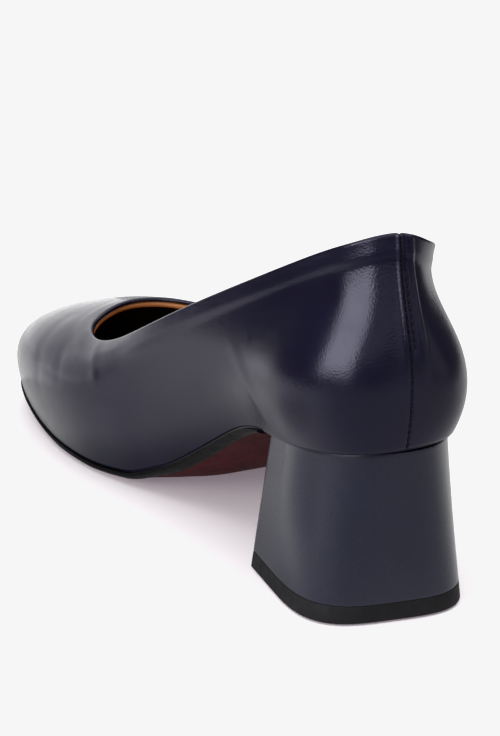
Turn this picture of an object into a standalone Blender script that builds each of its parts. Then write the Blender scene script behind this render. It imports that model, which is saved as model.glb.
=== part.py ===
"""Block-heeled court shoe for a right foot, built on the sections of its last.

Lengths are millimetres until a point becomes a vertex. +X runs from heel to toe, +Y is the inner (medial)
side of the foot and +Z is up. The rearmost point of the last's seat is near x = 0 while the shoe is drawn,
and the shoe is then set down with its box centred over the origin.
"""

import math

import bmesh
import bpy
import numpy as np

MM = 0.001

# Driving sizes
GAP = 0.3  # clearance between pieces that touch
WALL = 2.0  # upper leather with its lining
HEEL_HEIGHT = 50.6  # floor to the seat at the back of the heel
SEAT_SLOPE = 0.13  # fall of the seat for each millimetre forward
SEAT_BACK_X = 4.0
SEAT_FRONT_X = 49.4  # the seat is flat as far as this
ARCH_LIFT = 3.9  # how much higher the waist is along the inner side
ARCH_BACK_X = 58.0
ARCH_FRONT_X = 158.0
ARCH_START_Y = -5.0  # the lift grows from here
ARCH_FULL_Y = 17.0  # and is full here
HEEL_TURN = math.radians(-9.1)  # the heel's own axis, turned from the shoe's long axis
HEEL_SIDE_SHIFT = 2.1  # the heel sits this far towards the inner side
TOP_PIECE_HEIGHT = 5.2
INSOLE_THICK = 2.0
SOLE_LIP = 0.5  # the sole's edge stands this far outside the upper's lower edge
SOLE_EDGE_ROUND = 0.8  # how far the underside is set in from the edge
SOLE_EDGE_SQUARE = 0.65  # share of the edge, from the top, that stands upright
INSOLE_EDGE_ROUND = 0.2
MOST_SET_IN = 0.3  # share of a section's width, where the toe is narrower than its rounded edges
RIM_RISE = 0.8  # the rounded top line stands this far above the wall

# Fineness of the faceted solids
STEPS_PER_SECTION = 5
OUTLINE_STEPS = 150
WALL_ROWS = 12
SOLE_STATIONS = 46
SOLE_ACROSS = 9
SOLE_TIP_CROWDING = 1.6
HEEL_LEVELS = 6
TOP_PIECE_LEVELS = 2
HEEL_SIDE_STEPS = 5
HEEL_BACK_STEPS = 22
SHARP_ANGLE = math.radians(40)  # edges that turn by more than this are not shaded smooth
NEAR_ZERO = 1e-6

# Underside of the last along the foot, ahead of the seat: place, height and slope
BOTTOM_COLUMNS = ("x", "z", "slope")
BOTTOM = (
    (SEAT_FRONT_X, HEEL_HEIGHT - SEAT_SLOPE * (SEAT_FRONT_X - SEAT_BACK_X), -SEAT_SLOPE),
    (75.0, 35.5, -0.62),
    (105.0, 15.1, -0.64),
    (122.0, 6.8, -0.31),
    (138.0, 2.9, -0.02),
    (176.0, 2.9, 0.03),
    (212.0, 6.6, 0.15),
    (250.0, 12.0, 0.15),
)

# Sections of the upper, in order round the shoe from the back seam along the inner side to the toe and back
# along the outer side. foot_ is the lower edge and top_ the top line. A section leaves the lower edge
# towards (low_out, low_up) and reaches the top line from (high_out, -high_down).
SECTION_COLUMNS = (
    "foot_x", "foot_y", "top_x", "top_y", "top_z", "low_out", "low_up", "high_out", "high_down"
)
SECTIONS = {
    "back_seam": (4.0, 0.0, 8.8, 0.7, 109.2, 7.0, 26.0, 2.7, 23.0),
    "inner_heel_round": (9.5, 15.0, 16.4, 10.9, 106.0, 7.5, 30.8, 1.5, 25.3),
    "inner_heel_side": (29.0, 21.5, 31.2, 14.7, 99.5, 10.2, 27.2, 0.7, 19.8),
    "inner_breast": (57.0, 18.6, 60.5, 19.3, 85.5, 8.0, 19.5, 2.4, 16.8),
    "inner_waist": (89.0, 16.4, 92.0, 23.0, 70.2, 9.0, 20.2, 2.4, 14.5),
    "inner_joint_back": (121.0, 19.8, 119.8, 26.1, 55.9, 8.1, 17.7, 2.9, 13.9),
    "inner_ball": (154.0, 27.5, 145.0, 25.6, 45.2, 8.0, 18.0, 11.0, 11.0),
    "inner_toe_joint": (186.0, 29.0, 162.0, 23.0, 42.2, 6.5, 18.0, 17.0, 8.0),
    "inner_toe_side": (216.0, 25.0, 173.5, 17.0, 43.2, 5.0, 18.0, 26.0, 6.5),
    "inner_toe_corner": (236.0, 16.5, 179.0, 9.0, 45.2, 4.0, 17.0, 34.0, 7.0),
    "toe_tip": (244.5, 2.5, 180.5, 1.5, 46.4, 3.0, 16.5, 37.0, 7.5),
    "outer_toe_corner": (236.5, -12.5, 178.5, -6.0, 46.8, 4.0, 16.5, 34.0, 7.5),
    "outer_toe_side": (217.5, -25.5, 172.5, -13.0, 46.8, 5.0, 17.5, 26.0, 8.0),
    "outer_toe_joint": (188.0, -35.5, 162.0, -19.5, 47.0, 6.0, 18.0, 17.0, 9.0),
    "outer_ball": (154.0, -39.5, 145.0, -25.5, 50.4, 6.0, 18.0, 11.0, 11.0),
    "outer_joint_back": (121.0, -37.0, 120.0, -29.5, 58.4, 5.5, 18.0, 4.0, 14.0),
    "outer_waist": (89.0, -33.0, 92.0, -30.0, 70.6, 5.5, 19.0, 0.0, 15.0),
    "outer_breast": (57.0, -30.0, 60.0, -27.5, 85.2, 6.5, 22.0, -2.0, 17.0),
    "outer_heel_side": (29.0, -26.5, 31.0, -22.0, 97.6, 11.3, 26.2, -2.6, 18.3),
    "outer_heel_round": (9.5, -17.0, 13.5, -11.5, 104.4, 11.9, 23.9, -5.0, 19.4),
}

# The closed seam down the back: distance from the stitch line along the leather (+ on the inner side), and
# how far the wall stands proud there, once it has grown between two shares of the wall's height
SEAM_COLUMNS = ("along", "proud")
SEAM_GROWS = (0.15, 0.65)
SEAM = (
    (-6.2, 0.0), (-4.2, 0.42), (-2.2, 0.25), (-0.7, 0.3), (0.0, -0.1), (0.8, 0.38), (1.6, 0.3), (3.2, 0.0)
)

# The heel's plan at its seat and at its foot, in the heel's own axes
HEEL_COLUMNS = ("back_x", "half_width", "depth", "round_depth", "round_power", "front_taper")
HEEL_SEAT = (5.2, 22.5, 44.8, 28.0, 2.0, -0.8)
HEEL_FOOT = (6.6, 25.9, 49.0, 32.7, 3.5, 0.1)

# Thickness of the sole along the foot: skived thin at the heel's front and again towards the toe
SOLE_COLUMNS = ("x", "thickness")
SOLE = ((50.0, 1.2), (80.0, 2.7), (140.0, 2.6), (176.0, 2.6), (196.0, 1.6), (222.0, 1.1))


def smooth_closed(values, at):
    """A closed curve with continuous bending through the rows of values, one unit of at between rows."""
    values = np.asarray(values, float)
    count = len(values)
    nearby = np.eye(count) * 4 + np.roll(np.eye(count), 1, axis=0) + np.roll(np.eye(count), -1, axis=0)
    bends = np.linalg.solve(nearby / 6, np.roll(values, 1, axis=0) - 2 * values + np.roll(values, -1, axis=0))
    row = np.floor(at).astype(int)
    t = (at - row)[:, None]
    here, after = row % count, (row + 1) % count
    straight = (1 - t) * values[here] + t * values[after]
    return straight + ((1 - t) ** 3 - (1 - t)) / 6 * bends[here] + (t**3 - t) / 6 * bends[after]


def bottom_height(x, y):
    """Height of the last's underside: the flat seat, a cubic between the rows of BOTTOM, and the arch."""
    x, y = np.asarray(x, float), np.asarray(y, float)
    table = dict(zip(BOTTOM_COLUMNS, np.array(BOTTOM).T))
    height = HEEL_HEIGHT - SEAT_SLOPE * (x - SEAT_BACK_X)
    for row in range(len(BOTTOM) - 1):
        x0, x1 = table["x"][row : row + 2]
        z0, z1 = table["z"][row : row + 2]
        s0, s1 = table["slope"][row : row + 2] * (x1 - x0)
        t = (x - x0) / (x1 - x0)
        cubic = (
            z0 * (2 * t**3 - 3 * t**2 + 1)
            + s0 * (t**3 - 2 * t**2 + t)
            + z1 * (3 * t**2 - 2 * t**3)
            + s1 * (t**3 - t**2)
        )
        height = np.where(x >= x0, cubic, height)
    along = np.clip((x - ARCH_BACK_X) / (ARCH_FRONT_X - ARCH_BACK_X), 0.0, 1.0)
    inward = np.clip((y - ARCH_START_Y) / (ARCH_FULL_Y - ARCH_START_Y), 0.0, 1.0)
    return height + ARCH_LIFT * np.sin(math.pi * along) ** 2 * inward**2


def plan_normals(loop):
    """Unit normals in plan, pointing away from the foot, of a closed loop of points."""
    along = np.roll(loop, -1, axis=0) - np.roll(loop, 1, axis=0)
    out = np.column_stack((-along[:, 1], along[:, 0], np.zeros(len(loop))))
    return out / np.linalg.norm(out, axis=1)[:, None]


def section_values(at):
    """The columns of SECTIONS as smooth functions of the place round the shoe."""
    columns = smooth_closed(list(SECTIONS.values()), at)
    return dict(zip(SECTION_COLUMNS, columns.T))


def foot_loop(at):
    """The upper's lower edge."""
    values = section_values(at)
    x, y = values["foot_x"], values["foot_y"]
    return np.column_stack((x, y, bottom_height(x, y)))


def seam_rows():
    """The columns of SEAM, with the distances along the leather as places round the shoe."""
    rows = dict(zip(SEAM_COLUMNS, np.array(SEAM).T))
    ends = np.array([-0.5, 0.5]) / STEPS_PER_SECTION
    speed = np.linalg.norm(np.diff(foot_loop(ends), axis=0)) / np.ptp(ends)
    return rows["along"] / speed, rows["proud"]


def places_round():
    """Where the upper's wall is cut round the shoe: even steps between sections, and the seam's own lines."""
    count = len(SECTIONS)
    seam, _ = seam_rows()
    even = np.arange(1, count * STEPS_PER_SECTION) / STEPS_PER_SECTION
    near = 0.5 / STEPS_PER_SECTION
    clear = even[(even > seam.max() + near) & (even < count + seam.min() - near)]
    return np.concatenate((np.sort(seam[seam >= 0]), clear, count + np.sort(seam[seam < 0])))


def seam_relief(at, up):
    """How far the seam's ridges stand out of the wall at a place round the shoe and a share of the height."""
    count = len(SECTIONS)
    seam, heights = seam_rows()
    proud = np.interp(np.where(at > count / 2, at - count, at), seam, heights)
    return proud[:, None] * np.interp(up, SEAM_GROWS, (0.0, 1.0))[None, :]


def outer_wall(at, up):
    """Points of the upper's outside, as an array [place round the shoe, share of the height]."""
    values = section_values(at)
    foot = foot_loop(at)
    top = np.column_stack((values["top_x"], values["top_y"], values["top_z"]))
    rise = np.array([0.0, 0.0, 1.0])
    low = foot + plan_normals(foot) * values["low_out"][:, None] + rise * values["low_up"][:, None]
    high = top + plan_normals(top) * values["high_out"][:, None] - rise * values["high_down"][:, None]
    v = up[None, :, None]
    return (
        (1 - v) ** 3 * foot[:, None]
        + 3 * (1 - v) ** 2 * v * low[:, None]
        + 3 * (1 - v) * v**2 * high[:, None]
        + v**3 * top[:, None]
    )


def wall_normals(points):
    """Outward unit normals of a wall that closes round the shoe."""
    round_shoe = np.roll(points, -1, axis=0) - np.roll(points, 1, axis=0)
    upwards = np.gradient(points, axis=1)
    normal = np.cross(upwards, round_shoe)
    return normal / np.linalg.norm(normal, axis=2)[:, :, None]


def upper_sections():
    """Closed sections of the upper's wall: up the outside, over the rounded top line and down the inside."""
    at = places_round()
    up = np.linspace(0.0, 1.0, WALL_ROWS)
    outer = outer_wall(at, up)
    normal = wall_normals(outer)
    inner = outer - normal * WALL
    inner[:, 0, 2] = bottom_height(inner[:, 0, 0], inner[:, 0, 1])
    outer = outer + normal * seam_relief(at, up)[:, :, None]
    edge_up = outer[:, -1] - outer[:, -2]
    edge_up /= np.linalg.norm(edge_up, axis=1)[:, None]
    rim = (outer[:, -1] + inner[:, -1]) / 2 + edge_up * RIM_RISE
    return np.concatenate((outer, rim[:, None], inner[:, ::-1]), axis=1)


def lower_outline(shift):
    """The lower edge's outline moved out by shift, as inner and outer side curves of y over x."""
    at = np.arange(0, len(SECTIONS), 1 / OUTLINE_STEPS)
    loop = foot_loop(at)
    loop = loop + plan_normals(loop) * shift
    tip, back = np.argmax(loop[:, 0]), np.argmin(loop[:, 0])
    loop = np.roll(loop, -back, axis=0)
    tip = (tip - back) % len(loop)
    return loop[: tip + 1, :2], loop[tip:, :2][::-1]


def sole_start(y):
    """x of the sole's back edge, just clear of the heel's front where the sole's underside meets it."""
    seat, foot = dict(zip(HEEL_COLUMNS, HEEL_SEAT)), dict(zip(HEEL_COLUMNS, HEEL_FOOT))
    seat_x, foot_x = seat["back_x"] + seat["depth"], foot["back_x"] + foot["depth"]
    drop = (sole_thickness(seat_x) + GAP) / bottom_height(seat_x, 0.0)
    front = seat_x + (foot_x - seat_x) * drop
    return (front + GAP) / math.cos(HEEL_TURN) - math.tan(HEEL_TURN) * (y - HEEL_SIDE_SHIFT)


def side_stations(shift, start_x, share):
    """Points on both sides of the outline at shares of the way from start_x(y) to the toe tip."""
    sides = []
    for curve in lower_outline(shift):
        x_start = curve[0, 0]
        if start_x is not None:
            ahead = curve[curve[:, 0] > start_x(curve[:, 1])]
            x_start = ahead[0, 0]
        x = x_start + (curve[-1, 0] - x_start) * share
        sides.append(np.column_stack((x, np.interp(x, curve[:, 0], curve[:, 1]))))
    return sides


def sole_thickness(x):
    """The sole's thickness at a place along the foot."""
    rows = dict(zip(SOLE_COLUMNS, np.array(SOLE).T))
    return np.interp(x, rows["x"], rows["thickness"])


def plate_sections(inner_side, outer_side, top_of, bottom_of, edge_round):
    """Closed sections across a plate: its top from side to side, a rounded edge, its underside and back."""
    across = np.linspace(0.0, 1.0, SOLE_ACROSS)
    sections = []
    for left, right in zip(inner_side, outer_side):
        width = right - left
        inset = min(edge_round / max(np.linalg.norm(width), NEAR_ZERO), MOST_SET_IN)
        top = left + width * across[:, None]
        under = left + width * (inset + (1 - 2 * inset) * across[::-1, None])
        z_top, z_under = top_of(*top.T), bottom_of(*under.T)
        rows = np.concatenate((np.column_stack((top, z_top)), np.column_stack((under, z_under))))
        middle = []
        for end, start in ((SOLE_ACROSS - 1, SOLE_ACROSS), (0, -1)):
            z = rows[end, 2] + (rows[start, 2] - rows[end, 2]) * SOLE_EDGE_SQUARE
            middle.append(np.array([rows[end, 0], rows[end, 1], z]))
        rows = np.concatenate((rows[:SOLE_ACROSS], middle[:1], rows[SOLE_ACROSS:], middle[1:]))
        sections.append(rows)
    return np.array(sections)


def outsole_sections():
    """The outsole from the heel's front to the toe, with stations closing up towards the tip."""
    share = 1 - (1 - np.linspace(0.0, 1.0, SOLE_STATIONS)) ** SOLE_TIP_CROWDING
    inner_side, outer_side = side_stations(SOLE_LIP, sole_start, share)
    return plate_sections(
        inner_side,
        outer_side,
        lambda x, y: bottom_height(x, y) - GAP,
        lambda x, y: np.maximum(bottom_height(x, y) - GAP - sole_thickness(x), 0.0),
        SOLE_EDGE_ROUND,
    )


def insole_sections():
    """The insole inside the upper's lower edge, with stations closing up towards both ends."""
    even = np.linspace(0.0, 1.0, SOLE_STATIONS)
    share = (1 - np.cos(math.pi * even)) / 2
    inner_side, outer_side = side_stations(-WALL - 2 * GAP, None, share)
    return plate_sections(
        inner_side,
        outer_side,
        lambda x, y: bottom_height(x, y) + INSOLE_THICK,
        bottom_height,
        INSOLE_EDGE_ROUND,
    )


def heel_plan(size):
    """The heel's plan from the inner front corner round the back to the outer front corner."""
    shape = dict(zip(HEEL_COLUMNS, size))
    power = shape["round_power"]
    round_share = np.linspace(0.0, 1.0, HEEL_BACK_STEPS // 2 + 1) ** 2
    x = shape["round_depth"] * round_share
    y = shape["half_width"] * (1 - (1 - round_share) ** power) ** (1 / power)
    ahead = np.linspace(0.0, 1.0, HEEL_SIDE_STEPS)[1:]
    x = np.concatenate((x, shape["round_depth"] + (shape["depth"] - shape["round_depth"]) * ahead))
    y = np.concatenate((y, shape["half_width"] + shape["front_taper"] * ahead))
    x = x + shape["back_x"]
    return np.column_stack((np.concatenate((x[::-1], x[1:])), np.concatenate((y[::-1], -y[1:]))))


def heel_rings(low, high, levels):
    """Rings of the heel between two heights. The top one follows the seat where high is None."""
    c, s = math.cos(HEEL_TURN), math.sin(HEEL_TURN)
    turn = np.array([[c, s], [-s, c]])
    shift = np.array([0.0, HEEL_SIDE_SHIFT])
    foot, seat = heel_plan(HEEL_FOOT) @ turn + shift, heel_plan(HEEL_SEAT) @ turn + shift
    seat_z = bottom_height(*seat.T) - GAP
    rings = []
    for level in np.linspace(0.0, 1.0, levels):
        top = seat_z if high is None else np.full(len(seat_z), high)
        z = low + (top - low) * level
        share = (z / seat_z)[:, None]
        rings.append(np.column_stack((foot + (seat - foot) * share, z)))
    return np.array(rings)


def grid_onto(name, points, close_rows):
    """A mesh sheet laid over an array of points and welded where it closes on itself."""
    rows, columns = points.shape[0], points.shape[1]
    laid = np.concatenate((points, points[:, :1]), axis=1)
    if close_rows:
        laid = np.concatenate((laid, laid[:1]), axis=0)
        rows += 1
    mesh = bmesh.new()
    made = bmesh.ops.create_grid(mesh, x_segments=columns, y_segments=rows - 1, size=1.0)
    for vert in made["verts"]:
        column = round((vert.co.x + 1) / 2 * columns)
        row = round((vert.co.y + 1) / 2 * (rows - 1))
        vert.co = laid[row, column] * MM
    bmesh.ops.remove_doubles(mesh, verts=mesh.verts, dist=NEAR_ZERO)
    bmesh.ops.dissolve_degenerate(mesh, edges=mesh.edges, dist=NEAR_ZERO)
    open_edges = [edge for edge in mesh.edges if edge.is_boundary]
    if open_edges:
        bmesh.ops.holes_fill(mesh, edges=open_edges)
    bmesh.ops.recalc_face_normals(mesh, faces=mesh.faces)
    data = bpy.data.meshes.new(name)
    mesh.to_mesh(data)
    mesh.free()
    data.shade_smooth()
    data.set_sharp_from_angle(angle=SHARP_ANGLE)
    solid = bpy.data.objects.new(name, data)
    bpy.context.scene.collection.objects.link(solid)
    return solid


def paint(solid, name, colour, roughness):
    """Gives a piece its own plain finish."""
    finish = bpy.data.materials.new(name)
    finish.use_nodes = True
    shader = finish.node_tree.nodes["Principled BSDF"]
    shader.inputs["Base Color"].default_value = (*colour, 1.0)
    shader.inputs["Roughness"].default_value = roughness
    shader.inputs["Metallic"].default_value = 0.0
    solid.data.materials.append(finish)


def set_down(solids):
    """Stands the shoe on the floor with its box centred over the origin, held by one empty."""
    corners = np.array([v.co for solid in solids for v in solid.data.vertices])
    low, high = corners.min(axis=0), corners.max(axis=0)
    shoe = bpy.data.objects.new("shoe", None)
    bpy.context.scene.collection.objects.link(shoe)
    shoe.location = (-(low[0] + high[0]) / 2, -(low[1] + high[1]) / 2, -low[2])
    for solid in solids:
        solid.parent = shoe


def main():
    """Clears the scene and builds the shoe's pieces, each with its finish."""
    for old in list(bpy.data.objects):
        bpy.data.objects.remove(old)
    upper = grid_onto("upper", upper_sections(), close_rows=True)
    paint(upper, "navy_leather", (0.018, 0.017, 0.040), 0.30)
    insole = grid_onto("insole", insole_sections(), close_rows=False)
    paint(insole, "insole_leather", (0.36, 0.17, 0.07), 0.55)
    outsole = grid_onto("outsole", outsole_sections(), close_rows=False)
    paint(outsole, "sole_black", (0.012, 0.012, 0.013), 0.50)
    rings = heel_rings(TOP_PIECE_HEIGHT + GAP, None, HEEL_LEVELS)
    heel = grid_onto("heel", rings, close_rows=False)
    paint(heel, "heel_navy", (0.030, 0.034, 0.055), 0.45)
    rings = heel_rings(0.0, TOP_PIECE_HEIGHT, TOP_PIECE_LEVELS)
    top_piece = grid_onto("top_piece", rings, close_rows=False)
    paint(top_piece, "top_piece_rubber", (0.014, 0.013, 0.013), 0.55)
    set_down([upper, insole, outsole, heel, top_piece])


main()
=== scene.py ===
"""Looks of a block-heeled court shoe in navy leather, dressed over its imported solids.

Lengths are millimetres in the drawing, whose +X runs from heel to toe, +Y to the inner side of the foot and
+Z up, as in the part. A point becomes metres in the part's frame when it is laid on a mesh.
"""

import math

import bmesh
import bpy
import numpy as np
from mathutils import Matrix, Vector


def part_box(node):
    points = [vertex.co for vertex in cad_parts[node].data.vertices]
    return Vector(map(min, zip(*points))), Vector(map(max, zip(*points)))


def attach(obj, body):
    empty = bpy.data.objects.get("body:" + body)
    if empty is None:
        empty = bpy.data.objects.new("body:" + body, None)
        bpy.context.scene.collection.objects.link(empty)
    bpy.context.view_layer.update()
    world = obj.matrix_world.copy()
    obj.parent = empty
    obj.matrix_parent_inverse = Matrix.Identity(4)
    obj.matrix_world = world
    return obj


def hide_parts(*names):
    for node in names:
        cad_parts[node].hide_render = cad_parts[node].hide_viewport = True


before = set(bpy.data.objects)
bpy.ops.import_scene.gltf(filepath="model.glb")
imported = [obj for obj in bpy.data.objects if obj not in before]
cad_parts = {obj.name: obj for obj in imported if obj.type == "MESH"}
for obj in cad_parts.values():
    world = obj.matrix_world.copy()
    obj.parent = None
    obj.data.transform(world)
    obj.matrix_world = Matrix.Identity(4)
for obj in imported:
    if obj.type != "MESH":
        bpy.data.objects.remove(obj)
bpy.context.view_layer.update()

MM = 0.001
UP = np.array([0.0, 0.0, 1.0])

# Driving sizes, as in the solids
GAP = 0.3
WALL = 2.0
HEEL_HEIGHT = 50.6
SEAT_SLOPE = 0.13
SEAT_BACK_X = 4.0
SEAT_FRONT_X = 49.4
ARCH_LIFT = 3.9
ARCH_BACK_X = 58.0
ARCH_FRONT_X = 158.0
ARCH_START_Y = -5.0
ARCH_FULL_Y = 17.0
HEEL_TURN = math.radians(-9.1)
HEEL_SIDE_SHIFT = 2.1
TOP_PIECE_HEIGHT = 5.2
INSOLE_THICK = 2.0
SOLE_LIP = 0.5

# Underside of the last along the foot, ahead of the seat
BOTTOM_COLUMNS = ("x", "z", "slope")
BOTTOM = (
    (SEAT_FRONT_X, HEEL_HEIGHT - SEAT_SLOPE * (SEAT_FRONT_X - SEAT_BACK_X), -SEAT_SLOPE),
    (75.0, 35.5, -0.62),
    (105.0, 15.1, -0.64),
    (122.0, 6.8, -0.31),
    (138.0, 2.9, -0.02),
    (176.0, 2.9, 0.03),
    (212.0, 6.6, 0.15),
    (250.0, 12.0, 0.15),
)

# Sections of the upper round the shoe, from the back seam along the inner side to the toe and back
SECTION_COLUMNS = (
    "foot_x", "foot_y", "top_x", "top_y", "top_z", "low_out", "low_up", "high_out", "high_down"
)
SECTIONS = {
    "back_seam": (4.0, 0.0, 8.8, 0.7, 109.2, 7.0, 26.0, 2.7, 23.0),
    "inner_heel_round": (9.5, 15.0, 16.4, 10.9, 106.0, 7.5, 30.8, 1.5, 25.3),
    "inner_heel_side": (29.0, 21.5, 31.2, 14.7, 99.5, 10.2, 27.2, 0.7, 19.8),
    "inner_breast": (57.0, 18.6, 60.5, 19.3, 85.5, 8.0, 19.5, 2.4, 16.8),
    "inner_waist": (89.0, 16.4, 92.0, 23.0, 70.2, 9.0, 20.2, 2.4, 14.5),
    "inner_joint_back": (121.0, 19.8, 119.8, 26.1, 55.9, 8.1, 17.7, 2.9, 13.9),
    "inner_ball": (154.0, 27.5, 145.0, 25.6, 45.2, 8.0, 18.0, 11.0, 11.0),
    "inner_toe_joint": (186.0, 29.0, 162.0, 23.0, 42.2, 6.5, 18.0, 17.0, 8.0),
    "inner_toe_side": (216.0, 25.0, 173.5, 17.0, 43.2, 5.0, 18.0, 26.0, 6.5),
    "inner_toe_corner": (236.0, 16.5, 179.0, 9.0, 45.2, 4.0, 17.0, 34.0, 7.0),
    "toe_tip": (244.5, 2.5, 180.5, 1.5, 46.4, 3.0, 16.5, 37.0, 7.5),
    "outer_toe_corner": (236.5, -12.5, 178.5, -6.0, 46.8, 4.0, 16.5, 34.0, 7.5),
    "outer_toe_side": (217.5, -25.5, 172.5, -13.0, 46.8, 5.0, 17.5, 26.0, 8.0),
    "outer_toe_joint": (188.0, -35.5, 162.0, -19.5, 47.0, 6.0, 18.0, 17.0, 9.0),
    "outer_ball": (154.0, -39.5, 145.0, -25.5, 50.4, 6.0, 18.0, 11.0, 11.0),
    "outer_joint_back": (121.0, -37.0, 120.0, -29.5, 58.4, 5.5, 18.0, 4.0, 14.0),
    "outer_waist": (89.0, -33.0, 92.0, -30.0, 70.6, 5.5, 19.0, 0.0, 15.0),
    "outer_breast": (57.0, -30.0, 60.0, -27.5, 85.2, 6.5, 22.0, -2.0, 17.0),
    "outer_heel_side": (29.0, -26.5, 31.0, -22.0, 97.6, 11.3, 26.2, -2.6, 18.3),
    "outer_heel_round": (9.5, -17.0, 13.5, -11.5, 104.4, 11.9, 23.9, -5.0, 19.4),
}
SECTION_COUNT = len(SECTIONS)

# The heel's plan at its seat and at its foot, in the heel's own axes
HEEL_COLUMNS = ("back_x", "half_width", "depth", "round_depth", "round_power", "front_taper")
HEEL_SEAT = (5.2, 22.5, 44.8, 28.0, 2.0, -0.8)
HEEL_FOOT = (6.6, 25.9, 49.0, 32.7, 3.5, 0.1)

# Thickness of the sole along the foot
SOLE_COLUMNS = ("x", "thickness")
SOLE = ((50.0, 1.2), (80.0, 2.7), (140.0, 2.6), (176.0, 2.6), (196.0, 1.6), (222.0, 1.1))

# The leather: its own thickness, the edge turned over the top line, and its roll into the feather line
LEATHER = 1.2
TURNED_RISE = 0.45
TURNED_FULL = 3.6
TURNED_END = 7.0
TURNED_AT_VAMP = 0.4
TURNED_FALLS_X = (95.0, 150.0)
RIM_RISE = 0.8
FEATHER_TUCK = 0.5
FEATHER_HEIGHT = 0.9
LASTING_MARGIN = 4.5
LASTING_TOP = 0.05
LASTING_UNDER = 0.25

# The lining: the bead along its top, with rows of distances inward and under for its rounded edge, and the
# lines where its tan leather ends at the black cloth of the vamp
LINING_BEAD = 1.05
LINING_BEAD_END = 6.0
LINING_EDGE = ((3.05, 1.0), (2.98, 0.6), (2.75, 0.25), (2.4, 0.06), (2.0, 0.0), (1.6, 0.08), (1.35, 0.3))
LINING_CLEARANCE = 0.1
TAN_STRIP = 4.1
VAMP_LINE_X = 80.0
VAMP_LINE_Z = 70.0
VAMP_LINE_LEAN = 0.5
LINE_SOFTNESS = 0.25

# Sides of the plates from the top down: how far each row is set in, and its share of the thickness
SOLE_EDGE = (
    (0.25, 0.0), (0.06, 0.04), (0.0, 0.12), (0.0, 0.32), (0.36, 0.53), (1.1, 0.76), (2.05, 0.93), (3.0, 1.0)
)
INSOLE_EDGE = ((0.9, 0.0), (0.35, 0.06), (0.08, 0.22), (0.0, 0.5), (0.0, 1.0))
WIDEST_SET_IN = 0.3

# The heel: its rounded edges, its gap over the top piece and the open joint under the seat, which widens
# towards the outer side
HEEL_EDGE = 0.3
COVER_GAP = 0.05
JOINT_WIDTH = 0.3
JOINT_WIDENS = 0.4
JOINT_FROM_INNER = (-18.0, 10.0)

# Fineness of the dressed pieces
WELD = 1e-7
STEPS_PER_SECTION = 28
WALL_SAMPLES = 201
ROW_CROWDING = 1.25
WALL_ROWS = 84
TOP_ROWS = (8.0, 7.2, 6.4, 5.6, 4.8, 4.0, 3.3, 2.6, 2.0, 1.5, 1.1, 0.8, 0.5, 0.25, 0.0)
RIM_STEPS = 8
EDGE_ROWS = 3
BACK_ROW_STEP = 6
LINING_COARSER = 2
LINING_ROWS = 30
LINING_TOP_ROWS = (9.0, 7.0, 5.8, 5.0, 4.4, 4.1, 3.7, 3.2, 2.6, 2.0, 1.5)
LINING_CLEAR_ROWS = 2
LINING_BACK_STEP = 4
SEAM_REACH = (-7.5, 4.5)
SEAM_STEP = 0.16
SEAM_SPAN = 0.1
SEAM_LINE_POINTS = 400
SEAM_LINE_SPAN = 0.02
SEAM_LINE_TOP = 0.99
OUTLINE_STEPS = 150
PLATE_ACROSS = 25
PLATE_STATIONS = 150
NARROWEST = 1e-6
SOLE_CROWDING = 1.6
HEEL_LEVELS = 40
HEEL_SIDE_STEPS = 12
HEEL_BACK_STEPS = 72

# Closed seam down the back. Rows of RIDGES are the distance along the leather from the stitch line, + on the
# inner side, and how far the wall stands proud there. Rows of GROOVES are that distance, the depth, the width
# and the height from which the groove runs up. The ridges die away down the heel.
RIDGES = ((-6.6, 0.0), (-4.1, 0.84), (-2.3, 0.06), (-1.0, 0.1), (0.0, 0.1), (0.75, 0.58), (1.9, 0.0))
RIDGE_FADE_Z = (66.0, 84.0)
GROOVES = ((0.0, 0.38, 0.36, 40.0), (-1.5, 0.24, 0.34, 74.0))
GROOVE_FADE = 8.0
NOTCH_DEPTH = 0.35
NOTCH_WIDTH = 0.6
NOTCH_FADE = 1.5

# Thread in the grooves, and the tack that zigzags between two lines at the top of the seam
STITCH_LENGTH = 1.7
STITCH_GAP = 0.35
STITCH_WIDTH = 0.28
STITCH_FLATNESS = 1.25
STITCH_RISE = 0.9
FIRST_STITCH = 0.2
STITCHES_ABOVE = 6.0
TACK_EDGES = (0.8, -2.2)
TACK_REACH = 8.0
TACK_STEP = 0.6
TACK_PROUD = 0.3
TACK_WIDTH = 0.2

# Creases of the leather: start, middle and end of the line each follows over the upper, how far it stands
# proud and how wide it is
CREASES = {
    "toe_fold": ((192.0, 16.0, 41.5), (181.5, 30.0, 35.8), (180.0, 34.5, 20.0), -0.26, 3.6),
    "vamp_fold": ((170.0, 28.0, 39.0), (166.0, 31.5, 35.0), (163.0, 34.0, 27.0), -0.16, 2.6),
    "throat_roll": ((175.0, 17.0, 43.5), (165.0, 24.5, 41.0), (156.0, 30.0, 38.0), 0.2, 3.0),
    "corner_roll": ((150.0, 26.0, 43.5), (144.0, 29.0, 41.0), (140.0, 32.0, 32.0), 0.2, 2.4),
    "counter_front": ((65.7, 21.1, 67.5), (52.6, 24.5, 57.3), (42.3, 22.7, 49.5), 0.2, 2.6),
    "vamp_shoulder": ((190.0, 24.0, 39.5), (160.0, 26.5, 41.5), (136.0, 28.0, 45.5), 0.8, 9.0),
}
CREASE_POINTS = 28
CREASE_REACH = 60.0
CREASE_TAPER = 0.7

# Camera, as the photo was taken
CAMERA_TARGET = (60.0, 18.7, 60.4)
CAMERA_ROUND = math.radians(27.3)
CAMERA_RAISED = math.radians(18.05)
CAMERA_DISTANCE = 700.0
FOCAL_PIXELS = 2464.0
IMAGE_LONG_SIDE = 736
SENSOR = 36.0
CLIP_RANGE = (0.01, 100.0)


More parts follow.
